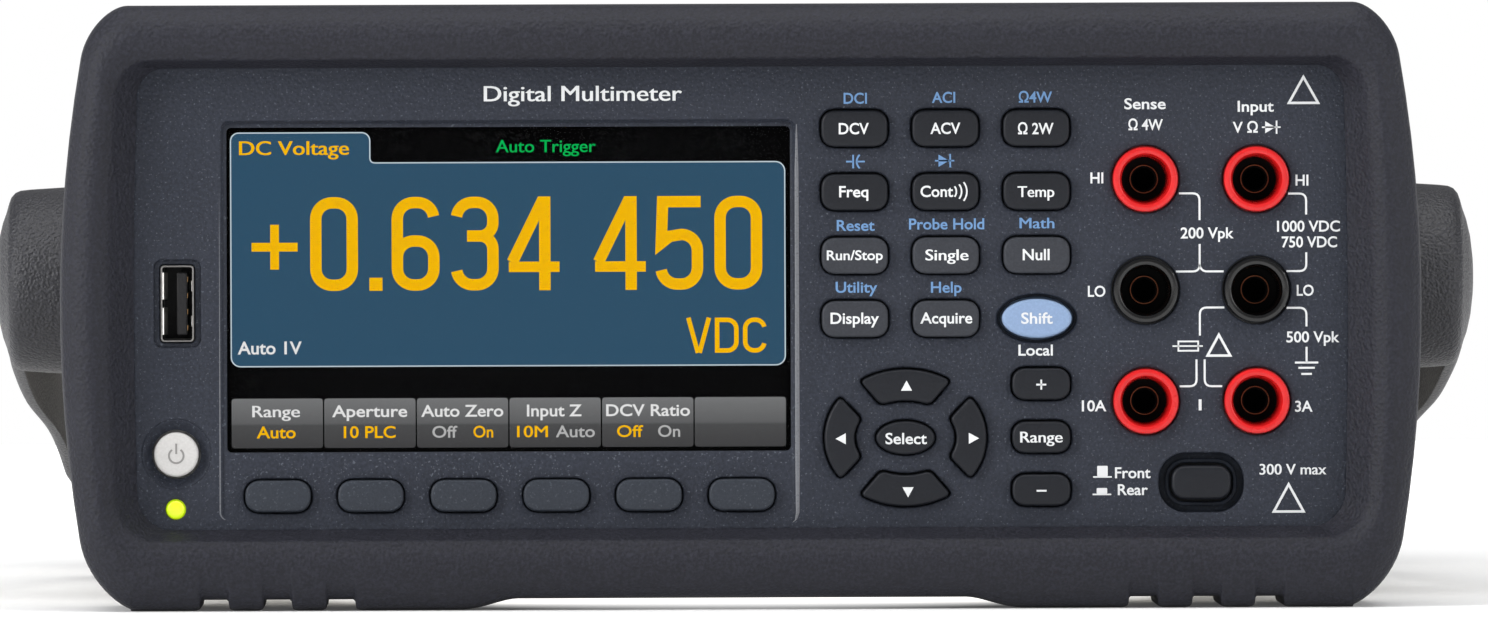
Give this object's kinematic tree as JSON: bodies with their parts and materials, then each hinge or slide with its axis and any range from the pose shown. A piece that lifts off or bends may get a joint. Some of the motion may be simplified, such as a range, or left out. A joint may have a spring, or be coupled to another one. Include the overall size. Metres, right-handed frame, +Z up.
{
  "type": "bench multimeter",
  "caption": "Half-rack bench multimeter with a colour display, keypad, safety jacks, rubber bumpers and a tilting carry handle.",
  "frame": {"origin": "on the surface the instrument stands on, under the middle of its bounding box", "axes": "+X to the right seen from the front, +Y from the front to the rear, +Z up"},
  "size_m": [0.2612, 0.3032, 0.1038],
  "materials": {
    "bumper_rubber": "satin",
    "handle_plastic": "satin",
    "pivot_plastic": "satin",
    "cover_paint": "satin",
    "zinc_sheet": "satin",
    "panel_plastic": "matte",
    "key_dark": "satin",
    "key_grey": "satin",
    "key_blue": "satin",
    "button_white": "satin",
    "led_lens": "gloss",
    "jack_red": "gloss",
    "jack_black": "gloss",
    "window_glass": "gloss",
    "display_frame": "matte",
    "display_picture": "satin",
    "legend_white": "matte",
    "legend_blue": "matte",
    "nickel": "satin",
    "contact_brass": "satin",
    "board_green": "satin",
    "transformer_core": "satin",
    "black_plastic": "satin"
  },
  "bodies": {
    "body": {"case_cover": "cover_paint", "chassis_tray": "zinc_sheet", "current_fuse_holder": "black_plastic", "data_port_stack": "nickel", "display_module": "display_frame", "display_window": "window_glass", "fan_frame": "black_plastic", "front_board": "board_green", "front_bumper": "bumper_rubber", "front_panel": "panel_plastic", "handle_pivot_left": "pivot_plastic", "handle_pivot_right": "pivot_plastic", "jack_amps_10": "jack_red", "jack_amps_3": "jack_red", "jack_input_hi": "jack_red", "jack_input_lo": "jack_black", "jack_sense_hi": "jack_red", "jack_sense_lo": "jack_black", "main_board": "board_green", "mains_inlet": "black_plastic", "output_bnc": "nickel", "power_led": "led_lens", "power_transformer": "transformer_core", "rear_bumper": "bumper_rubber", "rear_panel": "zinc_sheet", "rear_terminal_block": "jack_black", "trigger_bnc": "nickel", "usb_port": "nickel"},
    "softkey_1": {"softkey_1": "key_grey"},
    "softkey_2": {"softkey_2": "key_grey"},
    "softkey_3": {"softkey_3": "key_grey"},
    "softkey_4": {"softkey_4": "key_grey"},
    "softkey_5": {"softkey_5": "key_grey"},
    "softkey_6": {"softkey_6": "key_grey"},
    "key_dcv": {"key_dcv": "key_dark"},
    "key_acv": {"key_acv": "key_dark"},
    "key_ohms": {"key_ohms": "key_dark"},
    "key_freq": {"key_freq": "key_dark"},
    "key_cont": {"key_cont": "key_dark"},
    "key_temp": {"key_temp": "key_dark"},
    "key_run": {"key_run": "key_grey"},
    "key_single": {"key_single": "key_grey"},
    "key_null": {"key_null": "key_grey"},
    "key_display": {"key_display": "key_grey"},
    "key_acquire": {"key_acquire": "key_grey"},
    "key_shift": {"key_shift": "key_blue"},
    "key_up": {"key_up": "key_dark"},
    "key_down": {"key_down": "key_dark"},
    "key_left": {"key_left": "key_dark"},
    "key_right": {"key_right": "key_dark"},
    "key_select": {"key_select": "key_dark"},
    "key_plus": {"key_plus": "key_dark"},
    "key_range": {"key_range": "key_dark"},
    "key_minus": {"key_minus": "key_dark"},
    "power_button": {"power_button": "button_white"},
    "terminal_select_button": {"terminal_select_button": "key_dark"},
    "carry_handle": {"carry_handle": "handle_plastic"},
    "fan_rotor": {"fan_rotor": "black_plastic"},
    "current_fuse_cap": {"current_fuse_cap": "black_plastic"},
    "mains_fuse_drawer": {"mains_fuse_drawer": "black_plastic"}
  },
  "joints": [
    {"name": "handle_tilt", "type": "hinge", "parent": "body", "child": "carry_handle", "pos_m": [0, -0.0616, 0.056], "axis": [-1, 0, 0], "range_deg": [0, 300]},
    {"name": "terminal_select_press", "type": "slide", "parent": "body", "child": "terminal_select_button", "axis": [0, 1, 0], "range_m": [0, 0.003]},
    {"name": "fan_spin", "type": "hinge", "parent": "body", "child": "fan_rotor", "pos_m": [-0.03, 0.133, 0.062], "axis": [0, 1, 0], "continuous": true},
    {"name": "fuse_cap_turn", "type": "hinge", "parent": "body", "child": "current_fuse_cap", "pos_m": [0.08845, 0.146, 0.036], "axis": [0, 1, 0], "range_deg": [0, 90]},
    {"name": "fuse_drawer_slide", "type": "slide", "parent": "body", "child": "mains_fuse_drawer", "axis": [0, 1, 0], "range_m": [0, 0.02]},
    {"name": "power_button_press", "type": "slide", "parent": "body", "child": "power_button", "axis": [0, 1, 0], "range_m": [0, 0.001], "stiffness_N_per_m": 300},
    {"name": "softkey_1_press", "type": "slide", "parent": "body", "child": "softkey_1", "axis": [0, 1, 0], "range_m": [0, 0.001], "stiffness_N_per_m": 300},
    {"name": "softkey_2_press", "type": "slide", "parent": "body", "child": "softkey_2", "axis": [0, 1, 0], "range_m": [0, 0.001], "stiffness_N_per_m": 300},
    {"name": "softkey_3_press", "type": "slide", "parent": "body", "child": "softkey_3", "axis": [0, 1, 0], "range_m": [0, 0.001], "stiffness_N_per_m": 300},
    {"name": "softkey_4_press", "type": "slide", "parent": "body", "child": "softkey_4", "axis": [0, 1, 0], "range_m": [0, 0.001], "stiffness_N_per_m": 300},
    {"name": "softkey_5_press", "type": "slide", "parent": "body", "child": "softkey_5", "axis": [0, 1, 0], "range_m": [0, 0.001], "stiffness_N_per_m": 300},
    {"name": "softkey_6_press", "type": "slide", "parent": "body", "child": "softkey_6", "axis": [0, 1, 0], "range_m": [0, 0.001], "stiffness_N_per_m": 300},
    {"name": "key_dcv_press", "type": "slide", "parent": "body", "child": "key_dcv", "axis": [0, 1, 0], "range_m": [0, 0.001], "stiffness_N_per_m": 300},
    {"name": "key_acv_press", "type": "slide", "parent": "body", "child": "key_acv", "axis": [0, 1, 0], "range_m": [0, 0.001], "stiffness_N_per_m": 300},
    {"name": "key_ohms_press", "type": "slide", "parent": "body", "child": "key_ohms", "axis": [0, 1, 0], "range_m": [0, 0.001], "stiffness_N_per_m": 300},
    {"name": "key_freq_press", "type": "slide", "parent": "body", "child": "key_freq", "axis": [0, 1, 0], "range_m": [0, 0.001], "stiffness_N_per_m": 300},
    {"name": "key_cont_press", "type": "slide", "parent": "body", "child": "key_cont", "axis": [0, 1, 0], "range_m": [0, 0.001], "stiffness_N_per_m": 300},
    {"name": "key_temp_press", "type": "slide", "parent": "body", "child": "key_temp", "axis": [0, 1, 0], "range_m": [0, 0.001], "stiffness_N_per_m": 300},
    {"name": "key_run_press", "type": "slide", "parent": "body", "child": "key_run", "axis": [0, 1, 0], "range_m": [0, 0.001], "stiffness_N_per_m": 300},
    {"name": "key_single_press", "type": "slide", "parent": "body", "child": "key_single", "axis": [0, 1, 0], "range_m": [0, 0.001], "stiffness_N_per_m": 300},
    {"name": "key_null_press", "type": "slide", "parent": "body", "child": "key_null", "axis": [0, 1, 0], "range_m": [0, 0.001], "stiffness_N_per_m": 300},
    {"name": "key_display_press", "type": "slide", "parent": "body", "child": "key_display", "axis": [0, 1, 0], "range_m": [0, 0.001], "stiffness_N_per_m": 300},
    {"name": "key_acquire_press", "type": "slide", "parent": "body", "child": "key_acquire", "axis": [0, 1, 0], "range_m": [0, 0.001], "stiffness_N_per_m": 300},
    {"name": "key_shift_press", "type": "slide", "parent": "body", "child": "key_shift", "axis": [0, 1, 0], "range_m": [0, 0.001], "stiffness_N_per_m": 300},
    {"name": "key_up_press", "type": "slide", "parent": "body", "child": "key_up", "axis": [0, 1, 0], "range_m": [0, 0.001], "stiffness_N_per_m": 300},
    {"name": "key_down_press", "type": "slide", "parent": "body", "child": "key_down", "axis": [0, 1, 0], "range_m": [0, 0.001], "stiffness_N_per_m": 300},
    {"name": "key_left_press", "type": "slide", "parent": "body", "child": "key_left", "axis": [0, 1, 0], "range_m": [0, 0.001], "stiffness_N_per_m": 300},
    {"name": "key_right_press", "type": "slide", "parent": "body", "child": "key_right", "axis": [0, 1, 0], "range_m": [0, 0.001], "stiffness_N_per_m": 300},
    {"name": "key_select_press", "type": "slide", "parent": "body", "child": "key_select", "axis": [0, 1, 0], "range_m": [0, 0.001], "stiffness_N_per_m": 300},
    {"name": "key_plus_press", "type": "slide", "parent": "body", "child": "key_plus", "axis": [0, 1, 0], "range_m": [0, 0.001], "stiffness_N_per_m": 300},
    {"name": "key_range_press", "type": "slide", "parent": "body", "child": "key_range", "axis": [0, 1, 0], "range_m": [0, 0.001], "stiffness_N_per_m": 300},
    {"name": "key_minus_press", "type": "slide", "parent": "body", "child": "key_minus", "axis": [0, 1, 0], "range_m": [0, 0.001], "stiffness_N_per_m": 300}
  ]
}
